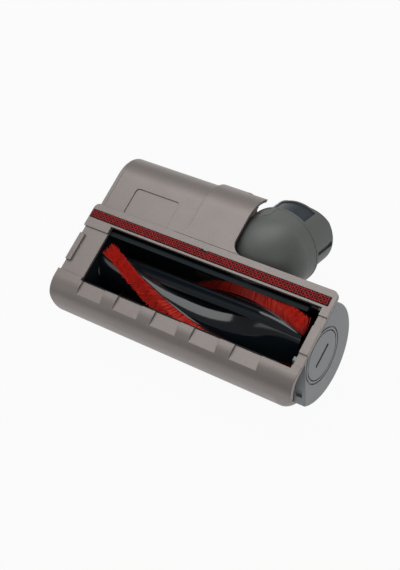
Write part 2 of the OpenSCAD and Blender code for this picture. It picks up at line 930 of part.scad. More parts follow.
// Saddle cut into the tube's end on the side of the sole
module tube_saddle() {
    low = tube_end - saddle_depth;
    half = saddle_w / 2;
    rotate([90, 0, 180])
        linear_extrude(tube_r + 1)
            polygon([[-half, low], [half, low], [half + saddle_run, tube_end],
                [half + saddle_run, tube_end + 1], [-half - saddle_run, tube_end + 1],
                [-half - saddle_run, tube_end]]);
}

// Window of the tube in which the contact block sits
module contact_window(inset) {
    half = window_angle / 2 - inset * 3;
    reach = 2 * tube_d;
    rotate([0, 0, 90])
        translate([0, 0, window_s0 + inset])
            linear_extrude(window_s1 - window_s0 - 2 * inset)
                polygon([[0, 0], [reach * cos(half), -reach * sin(half)],
                    [reach * cos(half), reach * sin(half)]]);
}

module contact_block() {
    color(black)
        on_neck()
            intersection() {
                contact_window(0.1);
                difference() {
                    cylinder(r = tube_r - contact_depth, h = tube_end);
                    translate([0, 0, -1])
                        cylinder(r = tube_in, h = tube_end + 2);
                }
            }
}

module neck_clip() {
    color(steel)
        ring(journal_r + 1.8, journal_r + 0.02, pod_x1 - 5.6, pod_x1 - 4.2, pivot_y, -pivot_z);
}

// Outline of the end cap as (y, z): a disc cut flat under the sole and across the front
module cap_outline(r, chord) {
    difference() {
        translate([axis_y, -axis_z])
            circle(r);
        translate([-big / 2, -plate_t - cap_gap])
            square([big, big]);
        translate([axis_y, -axis_z])
            rotate(151)
                translate([chord, -big / 2])
                    square([big, big]);
    }
}

module end_cap() {
    edge = 1;
    color(cap_grey)
        difference() {
            union() {
                intersection() {
                    along(x_cap, x_right)
                        cap_outline(cap_r, cap_chord);
                    translate([0, axis_y, -axis_z])
                        rotate([0, 90, 0])
                            rotate_extrude()
                                difference() {
                                    translate([0, x_cap])
                                        square([cap_r, cap_t]);
                                    round_off(cap_r, x_right, edge, -1);
                                }
                }
                // Guide ring that enters the front shell
                difference() {
                    along(x_cap - pilot_len, x_cap)
                        cap_outline(pilot_r, cap_chord);
                    along(x_cap - pilot_len - 1, x_cap + 1)
                        cap_outline(chamber_r + chamber_wall + 0.4, big);
                }
            }
            // Hollow behind the face, round the hub
            difference() {
                along(x_cap - 1, plate_x)
                    cap_outline(cap_r - 1.8, cap_chord - 1.8);
                ring(hub_out, holder_r + 0.02, x_cap, plate_x + 1, axis_y, -axis_z);
                ring(cap_r, chamber_r + chamber_wall + 0.4, x_cap - 2, x_cap + 1,
                    axis_y, -axis_z);
            }
            // Coin lock's seat, with the narrow ring round it
            brush_rod(lock_r + lock_air, x_right - lock_t, x_right + 1);
            ring(lock_r + 2.4, lock_r + 1.6, x_right - 0.8, x_right + 1, axis_y, -axis_z);
            brush_rod(lock_stem_r + run_gap, x_cap - 1, x_right);
            // Slot in the rim near the cut
            along(x_cap + 1, x_cap + 4.6)
                translate([axis_y, -axis_z])
                    rotate(151)
                        translate([cap_chord - 1.2, 11.4])
                            square([3, 5]);
        }
}

module bearing_holder() {
    color(black)
        difference() {
            brush_rod(holder_r, x_cap, plate_x - 1);
            brush_rod(end_bearing_r + 0.02, x_cap - 1, x_cap + 1.7);
            brush_rod(spindle_r + 0.6, x_cap - 1, plate_x);
        }
}

module end_bearing() {
    color(brass)
        ring(end_bearing_r, spindle_r + run_gap, x_cap, x_cap + 1.7, axis_y, -axis_z);
}

module coin_lock() {
    color(cap_grey)
        difference() {
            union() {
                brush_rod(lock_r, x_right - lock_t + 0.05, x_right);
                brush_rod(lock_stem_r, plate_x - 0.8, x_right - lock_t + 0.1);
            }
            slab(x_right - 1.1, x_right + 1, axis_y - slot_len / 2, axis_y + slot_len / 2,
                -axis_z - slot_w / 2, -axis_z + slot_w / 2);
        }
}

module lock_clip() {
    color(steel)
        ring(7.2, lock_stem_r + 0.02, plate_x - 0.75, plate_x - 0.05, axis_y, -axis_z);
}

// Section of the brush bar: two lobes, each with a lipped channel for a bristle row
module bar_section() {
    difference() {
        union() {
            polygon([for (a = [0 : 8 : 352]) [bar_r * cos(a), waist_r * sin(a)]]);
            for (a = [0, 180])
                rotate(a)
                    translate([bar_r - 4, -row_w / 2 - lip_t])
                        square([4 + lip_h, row_w + 2 * lip_t]);
        }
        for (a = [0, 180])
            rotate(a)
                translate([groove_r, -row_w / 2 - 0.05])
                    square([bar_r, row_w + 0.1]);
    }
}

// Winds a section along the brush axis
module wind(x0, x1) {
    pitch_angle = bar_twist / bar_len;
    translate([x0, axis_y, -axis_z])
        rotate([0, 90, 0])
            rotate([0, 0, 90 + row_start + (x0 - bar_x0) * pitch_angle])
                linear_extrude(x1 - x0, twist = -(x1 - x0) * pitch_angle,
                    slices = round(bar_slices * (x1 - x0) / bar_len), $fn = 8)
                    children();
}

module brush_body() {
    color(black)
        wind(bar_x0, bar_x1)
            bar_section();
}

// Section of one bristle row, wider at its tips
module row_section() {
    intersection() {
        polygon([[groove_r + 0.05, -row_w / 2], [bar_r + 1, -row_w / 2],
            [brush_r + 2, -row_tip_w / 2], [brush_r + 2, row_tip_w / 2],
            [bar_r + 1, row_w / 2], [groove_r + 0.05, row_w / 2]]);
        circle(brush_r, $fn = 96);
    }
}

module bristle_strip(turn) {
    color(red)
        wind(row_x0, row_x1)
            rotate(turn)
                row_section();
}

module bristle_strip_a() {
    bristle_strip(0);
}

module bristle_strip_b() {
    bristle_strip(180);
}

module drive_dog() {
    color(black) {
        brush_rod(bar_end_r, bar_x0 - 0.5, bar_x0);
        translate([bar_x0 - 4.5, axis_y, -axis_z])
            rotate([0, 90, 0])
                cylinder(r = 3.8, h = 4.1, $fn = 6);
    }
}

module end_spindle() {
    color(steel) {
        brush_rod(bar_end_r, bar_x1, bar_x1 + 1);
        brush_rod(spindle_r, bar_x1 + 0.9, x_cap + 1.9);
    }
}

lie() {
    front_shell();
    sole_plate();
    felt_strip();
    chamber_liner();
    neck_socket();
    neck_seal();
    motor_housing();
    hood();
    belt_cover();
    cover_screws();
    motor_bulkhead();
    motor_screws();
    motor_can();
    motor_end_bell();
    motor_cushion();
    circuit_board();
    rotor_shaft();
    drive_pinion();
    drive_belt();
    driven_pulley();
    pulley_bearing();
    neck_elbow();
    neck_tube();
    neck_clip();
    contact_block();
    end_cap();
    bearing_holder();
    end_bearing();
    coin_lock();
    lock_clip();
    brush_body();
    drive_dog();
    end_spindle();
    bristle_strip_a();
    bristle_strip_b();
}
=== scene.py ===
"""Looks of a powered vacuum brush head that lies on its back with its sole up.

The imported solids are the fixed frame. This script gives each of them its finish,
winds the glossy brush bar and its two rows of bristles, lays the woven pile strip
on the sole, and sets up a plain studio with the camera at the photograph's angle.
"""

import logging
import math
from dataclasses import dataclass, field
from enum import Enum
from typing import Optional, Sequence

import bpy
import numpy as np
from mathutils import Matrix, Vector


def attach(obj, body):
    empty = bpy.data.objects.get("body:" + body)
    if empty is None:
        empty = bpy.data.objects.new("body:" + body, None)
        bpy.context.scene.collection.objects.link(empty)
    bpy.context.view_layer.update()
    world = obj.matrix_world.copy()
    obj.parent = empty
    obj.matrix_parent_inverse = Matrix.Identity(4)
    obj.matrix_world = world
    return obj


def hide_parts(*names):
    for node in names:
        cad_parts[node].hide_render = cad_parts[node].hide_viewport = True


LOG = logging.getLogger("brush_head")
MM = 0.001

Colour = tuple[float, float, float]
Outline = list[tuple[float, float]]
Socket = bpy.types.NodeSocket

LINER_COLOUR: Colour = (0.013, 0.020, 0.023)

# Noise scales of the moulded surface, in cells a metre
FLAKE_SCALE = 4200.0
FLOW_SCALE = 34.0
SMEAR_SCALE = 120.0
GRAIN_SCALE = 2600.0
FLOW_LOW, FLOW_HIGH = 0.35, 0.65

GRAIN_HEIGHT = 0.0002
EDGE_SAMPLES = 6
COAT_ROUGHNESS = 0.08
PAINT_BLEND = 0.05 * MM
FIBRE_DARKEST = 0.8
SHEEN_ROUGHNESS = 0.4
MERGE_DISTANCE = 0.001


class Shell(Enum):
    """Mouldings that share the warm grey plastic."""

    FRONT = "front_shell"
    SOLE = "sole_plate"
    MOTOR = "motor_housing"
    HOOD = "hood"
    COVER = "belt_cover"


class Row(Enum):
    """The two bristle rows, with the angle at which each starts on the bar."""

    FIRST = ("bristle_strip_a", 0.0)
    SECOND = ("bristle_strip_b", 180.0)


class Lamp(Enum):
    """Soft boxes: place, aim, width, height in metres, and power in watts."""

    OVERHEAD = ((-0.25, 0.30, 1.00), (0.0, 0.0, 0.02), 1.00, 0.80, 5.0)
    CAMERA_SIDE = ((0.75, -0.55, 0.60), (0.0, 0.0, 0.02), 0.60, 0.50, 1.1)
    LEFT = ((-0.80, -0.50, 0.45), (0.0, 0.0, 0.02), 0.60, 0.60, 0.8)
    STRIP = ((0.15, 0.75, 0.75), (0.0, 0.0, 0.03), 0.12, 0.70, 1.6)


# Placement


@dataclass(frozen=True)
class Lie:
    """Places the head's own millimetre frame, with its sole level, as it lies.

    In that frame x runs along the brush from the mouth's left end, y to the rear
    from the mouth's front edge, and z out of the sole.
    """

    x_left: float = -16.2
    x_right: float = 131.9
    axis_y: float = 14.8
    axis_z: float = -15.4
    shell_r: float = 29.5
    pivot_y: float = 55.9
    pivot_z: float = -22.4
    neck_angle: float = 37.0
    tube_end: float = 29.4
    tube_r: float = 19.0
    saddle_depth: float = 4.1
    saddle_w: float = 13.0
    saddle_run: float = 9.5

    def neck_point(self, out: float, up: float) -> tuple[float, float]:
        """Gives (y, z) of a point at distance out along the neck and up across it."""
        a = math.radians(self.neck_angle)
        return (
            self.pivot_y + out * math.cos(a) + up * math.sin(a),
            self.pivot_z - out * math.sin(a) + up * math.cos(a),
        )

    @property
    def angle(self) -> float:
        """Turn about X, in radians, that rests the shell and the tube on the floor."""
        y, z = self.neck_point(self.tube_end, -self.tube_r)
        dy, dz = y - self.axis_y, z - self.axis_z
        return math.asin(-self.shell_r / math.hypot(dy, dz)) - math.atan2(dz, dy)

    @property
    def rear(self) -> float:
        """Reach of the tube's saddle-shaped end to the rear, in millimetres."""
        turn = Matrix.Rotation(self.angle, 4, "X")
        pivot = turn @ Vector((0.0, self.pivot_y, self.pivot_z))
        lean = math.radians(self.neck_angle) - self.angle
        slope = self.saddle_depth / self.saddle_run
        foot = self.tube_end - self.saddle_depth - slope * self.saddle_w / 2
        rim = self.tube_r * math.hypot(math.cos(lean) * slope, math.sin(lean))
        return pivot.y + math.cos(lean) * foot + rim

    @property
    def matrix(self) -> Matrix:
        """Matrix from the head's millimetre frame to the row frame in metres."""
        turn = Matrix.Rotation(self.angle, 4, "X")
        axis = turn @ Vector((0.0, self.axis_y, self.axis_z))
        shift = Vector(
            (
                -(self.x_left + self.x_right) / 2,
                -(axis.y - self.shell_r + self.rear) / 2,
                self.shell_r - axis.z,
            )
        )
        return Matrix.Scale(MM, 4) @ Matrix.Translation(shift) @ turn

    def point(self, x: float, y: float, z: float) -> Vector:
        """Gives the row-frame place, in metres, of a point given in millimetres."""
        return self.matrix @ Vector((x, y, z))

    def direction(self, x: float, y: float, z: float) -> Vector:
        """Turns a direction of the head's own frame into the row frame."""
        return Matrix.Rotation(self.angle, 3, "X") @ Vector((x, y, z))


LIE = Lie()


# Shader groups


class Nodes:
    """A thin wrapper that adds and links the nodes of one tree."""

    def __init__(self, tree: bpy.types.NodeTree) -> None:
        """Keeps the tree and empties it."""
        self.tree = tree
        self.tree.nodes.clear()
        self.column = 0

    def add(self, kind: str, **values: object) -> bpy.types.Node:
        """Adds a node.

        Args:
            kind: Name of the node's type after "ShaderNode", or in full.
            **values: Settings, by attribute name.

        Returns:
            The new node.
        """
        full = kind if kind.startswith("Node") else "ShaderNode" + kind
        node = self.tree.nodes.new(full)
        node.location = (self.column * 180, 0)
        self.column += 1
        for name, value in values.items():
            setattr(node, name, value)
        return node

    def link(self, source: Socket, target: Socket) -> None:
        """Joins an output to an input."""
        self.tree.links.new(source, target)

    def feed(self, value: Socket | float, target: Socket) -> None:
        """Links an output to an input, or sets the input to a number."""
        if isinstance(value, Socket):
            self.link(value, target)
        else:
            target.default_value = value

    def noise(
        self, place: Socket, scale: float, detail: float, distortion: float = 0.0
    ) -> Socket:
        """Adds a noise texture.

        Args:
            place: Socket of the coordinates.
            scale: Cells in a unit of length.
            detail: Number of finer layers.
            distortion: Strength of the warping.

        Returns:
            The noise's socket.
        """
        node = self.add("TexNoise")
        node.inputs["Scale"].default_value = scale
        node.inputs["Detail"].default_value = detail
        node.inputs["Distortion"].default_value = distortion
        self.link(place, node.inputs["Vector"])
        return node.outputs["Fac"]

    def ramp(self, source: Socket, low: float, high: float) -> Socket:
        """Stretches a value from the range low..high to 0..1.

        Args:
            source: The value's socket.
            low: Value that becomes 0.
            high: Value that becomes 1.

        Returns:
            The stretched value's socket.
        """
        node = self.add("MapRange", clamp=True)
        node.inputs["From Min"].default_value = low
        node.inputs["From Max"].default_value = high
        self.link(source, node.inputs["Value"])
        return node.outputs["Result"]

    def multiply_add(
        self, value: Socket, factor: Socket | float, offset: Socket | float
    ) -> Socket:
        """Multiplies a value by a factor and adds an offset.

        Args:
            value: The value's socket.
            factor: Factor, or its socket.
            offset: Offset, or its socket.

        Returns:
            The result's socket.
        """
        node = self.add("Math", operation="MULTIPLY_ADD")
        for given, target in zip((value, factor, offset), node.inputs):
            self.feed(given, target)
        return node.outputs[0]

    def shade(self, colour: Socket, gain: Socket) -> Socket:
        """Makes a colour lighter or darker.

        Args:
            colour: The colour's socket.
            gain: Socket of the factor.

        Returns:
            The shaded colour's socket.
        """
        node = self.add("VectorMath", operation="SCALE")
        self.link(colour, node.inputs[0])
        self.link(gain, node.inputs["Scale"])
        return node.outputs[0]

    def mix(self, share: Socket, a: Socket | Colour, b: Socket | Colour) -> Socket:
        """Mixes two colours.

        Args:
            share: Socket of the second colour's share.
            a: First colour, or its socket.
            b: Second colour, or its socket.

        Returns:
            The mixed colour's socket.
        """
        node = self.add("Mix", data_type="RGBA", blend_type="MIX")
        self.link(share, node.inputs["Factor"])
        for target, value in ((node.inputs[6], a), (node.inputs[7], b)):
            if isinstance(value, Socket):
                self.link(value, target)
            else:
                target.default_value = (*value, 1.0)
        return node.outputs[2]

    def mix_shaders(self, share: Socket, a: Socket, b: Socket) -> Socket:
        """Mixes two shaders.

        Args:
            share: Socket of the second shader's share.
            a: Socket of the first shader.
            b: Socket of the second shader.

        Returns:
            The mixed shader's socket.
        """
        node = self.add("MixShader")
        for source, target in zip((share, a, b), node.inputs):
            self.link(source, target)
        return node.outputs[0]

    def output(self, kind: str, surface: Socket) -> None:
        """Adds the tree's output node and joins the surface to it."""
        self.link(surface, self.add(kind).inputs["Surface"])


def new_group(
    name: str,
    inputs: Sequence[tuple[str, str, object]],
    outputs: Sequence[tuple[str, str]],
) -> tuple[Nodes, bpy.types.Node, bpy.types.Node]:
    """Starts a shader node group with its sockets.

    Args:
        name: Name of the group.
        inputs: Name, kind ("Float", "Color" or "Vector") and default of each input.
        outputs: Name and kind of each output.

    Returns:
        The group's nodes, its input node and its output node.
    """
    tree = bpy.data.node_groups.new(name, "ShaderNodeTree")
    for label, kind, value in inputs:
        socket = tree.interface.new_socket(
            label, in_out="INPUT", socket_type="NodeSocket" + kind
        )
        socket.default_value = value
    for label, kind in outputs:
        tree.interface.new_socket(
            label, in_out="OUTPUT", socket_type="NodeSocket" + kind
        )
    nodes = Nodes(tree)
    return nodes, nodes.add("NodeGroupInput"), nodes.add("NodeGroupOutput")


def moulding_group() -> bpy.types.NodeTree:
    """Builds the look shared by all mouldings: flakes, flow marks, grain and smears.

    Returns:
        A group that puts out a colour, a roughness and a height.
    """
    found = bpy.data.node_groups.get("moulded_surface")
    if found:
        return found
    nodes, start, end = new_group(
        "moulded_surface",
        [
            ("Colour", "Color", (0.5, 0.5, 0.5, 1.0)),
            ("Flake", "Float", 0.1),
            ("Flow", "Float", 0.1),
            ("Roughness", "Float", 0.4),
            ("Smears", "Float", 0.06),
        ],
        [("Colour", "Color"), ("Roughness", "Float"), ("Height", "Float")],
    )
    place = nodes.add("TexCoord").outputs["Object"]
    flakes = nodes.add("TexVoronoi", feature="F1")
    flakes.inputs["Scale"].default_value = FLAKE_SCALE
    nodes.link(place, flakes.inputs["Vector"])
    sparkle = nodes.add("SeparateColor")
    nodes.link(flakes.outputs["Color"], sparkle.inputs[0])
    flow = nodes.noise(place, FLOW_SCALE, 5.0, 0.6)
    # Flakes lighten single specks, and flow marks lighten whole areas
    fleck = nodes.ramp(sparkle.outputs[0], 0.0, 1.0)
    speck = nodes.multiply_add(fleck, start.outputs["Flake"], 1.0)
    mark = nodes.ramp(flow, FLOW_LOW, FLOW_HIGH)
    area = nodes.multiply_add(mark, start.outputs["Flow"], speck)
    nodes.link(nodes.shade(start.outputs["Colour"], area), end.inputs["Colour"])
    smears = nodes.noise(place, SMEAR_SCALE, 3.0)
    rough = nodes.multiply_add(
        smears, start.outputs["Smears"], start.outputs["Roughness"]
    )
    nodes.link(rough, end.inputs["Roughness"])
    nodes.link(nodes.noise(place, GRAIN_SCALE, 2.0), end.inputs["Height"])
    return nodes.tree


def fibre_group() -> bpy.types.NodeTree:
    """Builds the colour of a fibre from its tint attribute, with painted shade from its
    place along itself that darkens it toward the root.

    Returns:
        A group that puts out a colour.
    """
    found = bpy.data.node_groups.get("fibre_tint_and_painted_shade")
    if found:
        return found
    nodes, start, end = new_group(
        "fibre_tint_and_painted_shade",
        [
            ("Root", "Color", (0.1, 0.0, 0.0, 1.0)),
            ("Tip", "Color", (0.8, 0.0, 0.0, 1.0)),
            ("Spread", "Float", 0.3),
        ],
        [("Colour", "Color")],
    )
    along = nodes.add("Attribute", attribute_name="along")
    tint = nodes.add("Attribute", attribute_name="tint")
    # Painted shade: the colour darkens from the tip toward the root, where neighbouring
    # fibres shade it
    body = nodes.mix(along.outputs["Fac"], start.outputs["Root"], start.outputs["Tip"])
    gain = nodes.multiply_add(
        tint.outputs["Fac"], start.outputs["Spread"], FIBRE_DARKEST
    )
    nodes.link(nodes.shade(body, gain), end.inputs["Colour"])
    return nodes.tree


# Finishes


@dataclass(frozen=True)
class Finish:
    """A finish with a name and the record's slot that it stands for."""

    name: str
    slot: str

    def material(self) -> bpy.types.Material:
        """Gives the finish's material, built on first use."""
        found = bpy.data.materials.get(self.name)
        if found:
            return found
        material = bpy.data.materials.new(self.name)
        material.use_nodes = True
        nodes = Nodes(material.node_tree)
        shader = nodes.add("BsdfPrincipled")
        nodes.output("OutputMaterial", shader.outputs[0])
        self.build(nodes, shader)
        return material

    def build(self, nodes: Nodes, shader: bpy.types.Node) -> None:
        """Fills in the shader.

        Args:
            nodes: The material's nodes.
            shader: The Principled BSDF.
        """
        raise NotImplementedError


@dataclass(frozen=True)
class Moulding(Finish):
    """Moulded plastic or rubber, with metal flakes where it is a grey one.

    Where inner_x is given, what lies left of it, in millimetres of the row frame, is
    as dark as the liner.
    """

    colour: Colour = (0.5, 0.5, 0.5)
    metallic: float = 0.0
    roughness: float = 0.4
    flake: float = 0.1
    flow: float = 0.06
    smears: float = 0.08
    grain: float = 0.03
    coat: float = 0.0
    edge: float = 0.3
    gloss: float = 0.5
    inner_x: Optional[float] = None

    def build(self, nodes: Nodes, shader: bpy.types.Node) -> None:
        """Fills in the shader with the moulded surface and softened edges."""
        surface = nodes.add("Group", node_tree=moulding_group())
        surface.inputs["Colour"].default_value = (*self.colour, 1.0)
        surface.inputs["Flake"].default_value = self.flake
        surface.inputs["Flow"].default_value = self.flow
        surface.inputs["Roughness"].default_value = self.roughness
        surface.inputs["Smears"].default_value = self.smears
        colour = surface.outputs["Colour"]
        if self.inner_x is not None:
            place = nodes.add("TexCoord")
            split = nodes.add("SeparateXYZ")
            nodes.link(place.outputs["Object"], split.inputs[0])
            edge_x = self.inner_x * MM
            outside = nodes.ramp(split.outputs[0], edge_x - PAINT_BLEND, edge_x)
            colour = nodes.mix(outside, LINER_COLOUR, colour)
        nodes.link(colour, shader.inputs["Base Color"])
        nodes.link(surface.outputs["Roughness"], shader.inputs["Roughness"])
        bump = nodes.add("Bump")
        bump.inputs["Strength"].default_value = self.grain
        bump.inputs["Distance"].default_value = GRAIN_HEIGHT
        nodes.link(surface.outputs["Height"], bump.inputs["Height"])
        if self.edge:
            bevel = nodes.add("Bevel", samples=EDGE_SAMPLES)
            bevel.inputs["Radius"].default_value = self.edge * MM
            nodes.link(bevel.outputs[0], bump.inputs["Normal"])
        nodes.link(bump.outputs[0], shader.inputs["Normal"])
        shader.inputs["Metallic"].default_value = self.metallic
        shader.inputs["Specular IOR Level"].default_value = self.gloss
        shader.inputs["Coat Weight"].default_value = self.coat
        shader.inputs["Coat Roughness"].default_value = COAT_ROUGHNESS


@dataclass(frozen=True)
class Fibre(Finish):
    """Nylon or pile fibre, with painted shade that makes it darker at its root."""

    # The root colour holds painted shade from the neighbouring fibres
    root: Colour = (0.2, 0.0, 0.0)
    tip: Colour = (0.8, 0.0, 0.0)
    spread: float = 0.3
    roughness: float = 0.5
    sheen: float = 0.2

    def build(self, nodes: Nodes, shader: bpy.types.Node) -> None:
        """Fills in the shader with the fibre's shade."""
        shade = nodes.add("Group", node_tree=fibre_group())
        shade.inputs["Root"].default_value = (*self.root, 1.0)
        shade.inputs["Tip"].default_value = (*self.tip, 1.0)
        shade.inputs["Spread"].default_value = self.spread
        nodes.link(shade.outputs["Colour"], shader.inputs["Base Color"])
        shader.inputs["Roughness"].default_value = self.roughness
        shader.inputs["Sheen Weight"].default_value = self.sheen
        shader.inputs["Sheen Roughness"].default_value = SHEEN_ROUGHNESS


@dataclass(frozen=True)
class Metal(Finish):
    """Plated steel or brass with fine drawn lines."""

    colour: Colour = (0.6, 0.6, 0.62)
    roughness: float = 0.25
    smears: float = 0.2
    stretch: tuple[float, float, float] = (60.0, 2400.0, 2400.0)
    darkest: float = 0.72

    def build(self, nodes: Nodes, shader: bpy.types.Node) -> None:
        """Fills in the shader with drawn lines along the brush."""
        place = nodes.add("TexCoord")
        stretch = nodes.add("Mapping")
        stretch.inputs["Scale"].default_value = self.stretch
        nodes.link(place.outputs["Object"], stretch.inputs["Vector"])
        lines = nodes.noise(stretch.outputs[0], 1.0, 4.0)
        dark = tuple(c * self.darkest for c in self.colour)
        colour = nodes.mix(nodes.ramp(lines, 0.3, 0.7), self.colour, dark)
        nodes.link(colour, shader.inputs["Base Color"])
        rough = nodes.multiply_add(lines, self.smears, self.roughness)
        nodes.link(rough, shader.inputs["Roughness"])
        shader.inputs["Metallic"].default_value = 1.0


@dataclass(frozen=True)
class Laminate(Finish):
    """Circuit board laminate with copper tracks under its lacquer."""

    colour: Colour = (0.01, 0.09, 0.04)
    track: Colour = (0.03, 0.2, 0.08)
    track_scale: float = 420.0
    track_width: float = 0.03
    roughness: float = 0.3

    def build(self, nodes: Nodes, shader: bpy.types.Node) -> None:
        """Fills in the shader with a pattern of tracks."""
        place = nodes.add("TexCoord")
        cells = nodes.add("TexBrick")
        cells.inputs["Scale"].default_value = self.track_scale
        cells.inputs["Mortar Size"].default_value = self.track_width
        cells.inputs["Color1"].default_value = (*self.colour, 1.0)
        cells.inputs["Color2"].default_value = (*self.colour, 1.0)
        cells.inputs["Mortar"].default_value = (*self.track, 1.0)
        turn = nodes.add("Mapping")
        turn.inputs["Rotation"].default_value = (0.0, math.pi / 2, 0.0)
        nodes.link(place.outputs["Object"], turn.inputs["Vector"])
        nodes.link(turn.outputs[0], cells.inputs["Vector"])
        nodes.link(cells.outputs["Color"], shader.inputs["Base Color"])
        shader.inputs["Roughness"].default_value = self.roughness


SHELL_GREY = Moulding(
    "warm grey flake", "shell_plastic", (0.296, 0.262, 0.248),
    metallic=0.45, roughness=0.40, flake=0.16, flow=0.05, edge=0.35,
)
CAP_GREY = Moulding(
    "cool grey flake", "cap_plastic", (0.265, 0.276, 0.290),
    metallic=0.40, roughness=0.42, flake=0.12, flow=0.04, edge=0.35, inner_x=67.2,
)
NECK_GREY = Moulding(
    "dark neck grey", "neck_plastic", (0.150, 0.160, 0.152),
    metallic=0.15, roughness=0.46, flake=0.08, flow=0.05, edge=0.35,
)
LINER_BLACK = Moulding(
    "liner black", "liner_plastic", LINER_COLOUR,
    roughness=0.50, flake=0.02, flow=0.25, smears=0.15, edge=0.25, gloss=0.15,
)
CONTACT_NAVY = Moulding(
    "contact navy", "contact_plastic", (0.030, 0.040, 0.050),
    roughness=0.35, flake=0.03, flow=0.1, edge=0.25,
)
BAR_BLACK = Moulding(
    "polished black", "bar_plastic", (0.006, 0.010, 0.014),
    roughness=0.10, flake=0.0, flow=0.2, smears=0.06, grain=0.01, coat=0.6, edge=0.0,
)
PULLEY_WHITE = Moulding(
    "natural white", "pulley_plastic", (0.62, 0.60, 0.54),
    roughness=0.45, flake=0.02, flow=0.05,
)
SEAL_BLACK = Moulding(
    "seal rubber", "seal_rubber", (0.014, 0.014, 0.015),
    roughness=0.62, flake=0.05, flow=0.2, smears=0.2, grain=0.2,
)
BELT_BLACK = Moulding(
    "belt rubber", "belt_rubber", (0.016, 0.016, 0.016),
    roughness=0.7, flake=0.05, flow=0.3, smears=0.2, grain=0.3,
)
# Painted shade: the root colours of the nylon and the pile darken each bristle and
# stitch toward its root, between its neighbours
NYLON_RED = Fibre(
    "red nylon", "bristles", root=(0.85, 0.030, 0.020), tip=(1.0, 0.095, 0.060),
    spread=0.4, roughness=0.42, sheen=0.1,
)
PILE_RED = Fibre(
    "red pile", "felt", root=(0.03, 0.001, 0.001), tip=(0.50, 0.010, 0.010),
    spread=0.6, roughness=0.6, sheen=0.1,
)
PILE_GROUND = Fibre(
    "pile ground", "felt", root=(0.008, 0.002, 0.002), tip=(0.012, 0.003, 0.003),
    spread=0.5, roughness=0.85, sheen=0.1,
)
STEEL = Metal("plated steel", "steel", (0.56, 0.57, 0.59), 0.22)
BRASS = Metal("plain brass", "brass", (0.60, 0.42, 0.16), 0.22)
BOARD = Laminate("lacquered board", "board")


def dress(node: str, finish: Finish) -> None:
    """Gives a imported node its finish.

    Args:
        node: Name of the node.
        finish: The finish.
    """
    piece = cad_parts[node]
    piece.data.materials.clear()
    piece.data.materials.append(finish.material())
    LOG.info("%s dressed in %s", node, finish.name)


# Modelling helpers


def deselect() -> None:
    """Leaves nothing selected and no object active."""
    bpy.ops.object.select_all(action="DESELECT")
    bpy.context.view_layer.objects.active = None


def active() -> bpy.types.Object:
    """Gives the active object."""
    return bpy.context.view_layer.objects.active


def select(piece: bpy.types.Object) -> None:
    """Selects one object alone and makes it active."""
    deselect()
    piece.select_set(True)
    bpy.context.view_layer.objects.active = piece


def turned(points: Outline, turn: float) -> Outline:
    """Turns points about the origin by an angle in radians."""
    c, s = math.cos(turn), math.sin(turn)
    return [(x * c - y * s, x * s + y * c) for x, y in points]


def apply_modifiers(piece: bpy.types.Object) -> None:
    """Applies each modifier of a piece, in order."""
    select(piece)
    for modifier in list(piece.modifiers):
        bpy.ops.object.modifier_apply(modifier=modifier.name)


def settle(
    piece: bpy.types.Object,
    name: str,
    place: Matrix,
    body: str,
    finish: Finish,
    sharp: Optional[float] = 35.0,
) -> bpy.types.Object:
    """Moves a finished mesh to its place, dresses it and ties it to its body.

    Args:
        piece: The object, modelled at the origin.
        name: Its name.
        place: Matrix that takes its mesh to the row frame.
        body: The body that it rides on.
        finish: Its finish.
        sharp: Angle in degrees above which an edge stays sharp, or None.

    Returns:
        The same object.
    """
    piece.data.transform(place)
    piece.matrix_world = Matrix.Identity(4)
    piece.name = name
    piece.data.name = name
    piece.data.materials.clear()
    piece.data.materials.append(finish.material())
    select(piece)
    if sharp is not None:
        bpy.ops.object.shade_smooth_by_angle(angle=math.radians(sharp))
    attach(piece, body)
    LOG.info("%s: %d faces", name, len(piece.data.polygons))
    return piece


def set_attribute(mesh: bpy.types.Mesh, name: str, values: np.ndarray) -> None:
    """Stores one number for each vertex of a mesh.

    Args:
        mesh: The mesh.
        name: Name of the attribute.
        values: The numbers.
    """
    attribute = mesh.attributes.new(name, "FLOAT", "POINT")
    attribute.data.foreach_set("value", values.astype(np.float32))


def repeat_mesh(
    pattern: bpy.types.Object, places: np.ndarray, tints: np.ndarray, name: str
) -> bpy.types.Object:
    """Copies one modelled fibre to many places, as one mesh.

    Args:
        pattern: The fibre, 1 unit long from z = 0 to z = 1.
        places: One 4 by 4 matrix for each copy.
        tints: One number from 0 to 1 for each copy.
        name: Name of the new object.

    Returns:
        The new object, with "along" and "tint" attributes. The pattern is removed.
    """
    source = pattern.data
    count = len(source.vertices)
    points = np.empty(count * 3)
    source.vertices.foreach_get("co", points)
    points = np.c_[points.reshape(-1, 3), np.ones(count)]
    faces = [tuple(p.vertices) for p in source.polygons]
    copies = np.einsum("nij,vj->nvi", places, points)[:, :, :3]
    mesh = bpy.data.meshes.new(name)
    mesh.from_pydata(
        copies.reshape(-1, 3).tolist(),
        [],
        [tuple(v + k * count for v in f) for k in range(len(places)) for f in faces],
    )
    mesh.update()
    set_attribute(mesh, "along", np.tile(np.clip(points[:, 2], 0, 1), len(places)))
    set_attribute(mesh, "tint", np.repeat(tints, count))
    piece = bpy.data.objects.new(name, mesh)
    bpy.context.scene.collection.objects.link(piece)
    bpy.data.objects.remove(pattern)
    return piece


def frames(
    origin: np.ndarray, side: np.ndarray, up: np.ndarray, width: np.ndarray
) -> np.ndarray:
    """Builds one matrix for each fibre from its root, side and lengthwise vectors.

    Args:
        origin: Roots, n by 3.
        side: Unit vectors across the fibres, n by 3.
        up: Vectors from root to tip, n by 3.
        width: Radii of the fibres.

    Returns:
        The matrices, n by 4 by 4.
    """
    out = np.zeros((len(origin), 4, 4))
    third = np.cross(up, side)
    third /= np.linalg.norm(third, axis=1)[:, None]
    out[:, :3, 0] = side * width[:, None]
    out[:, :3, 1] = third * width[:, None]
    out[:, :3, 2] = up
    out[:, :3, 3] = origin
    out[:, 3, 3] = 1
    return out


# Sub-assemblies


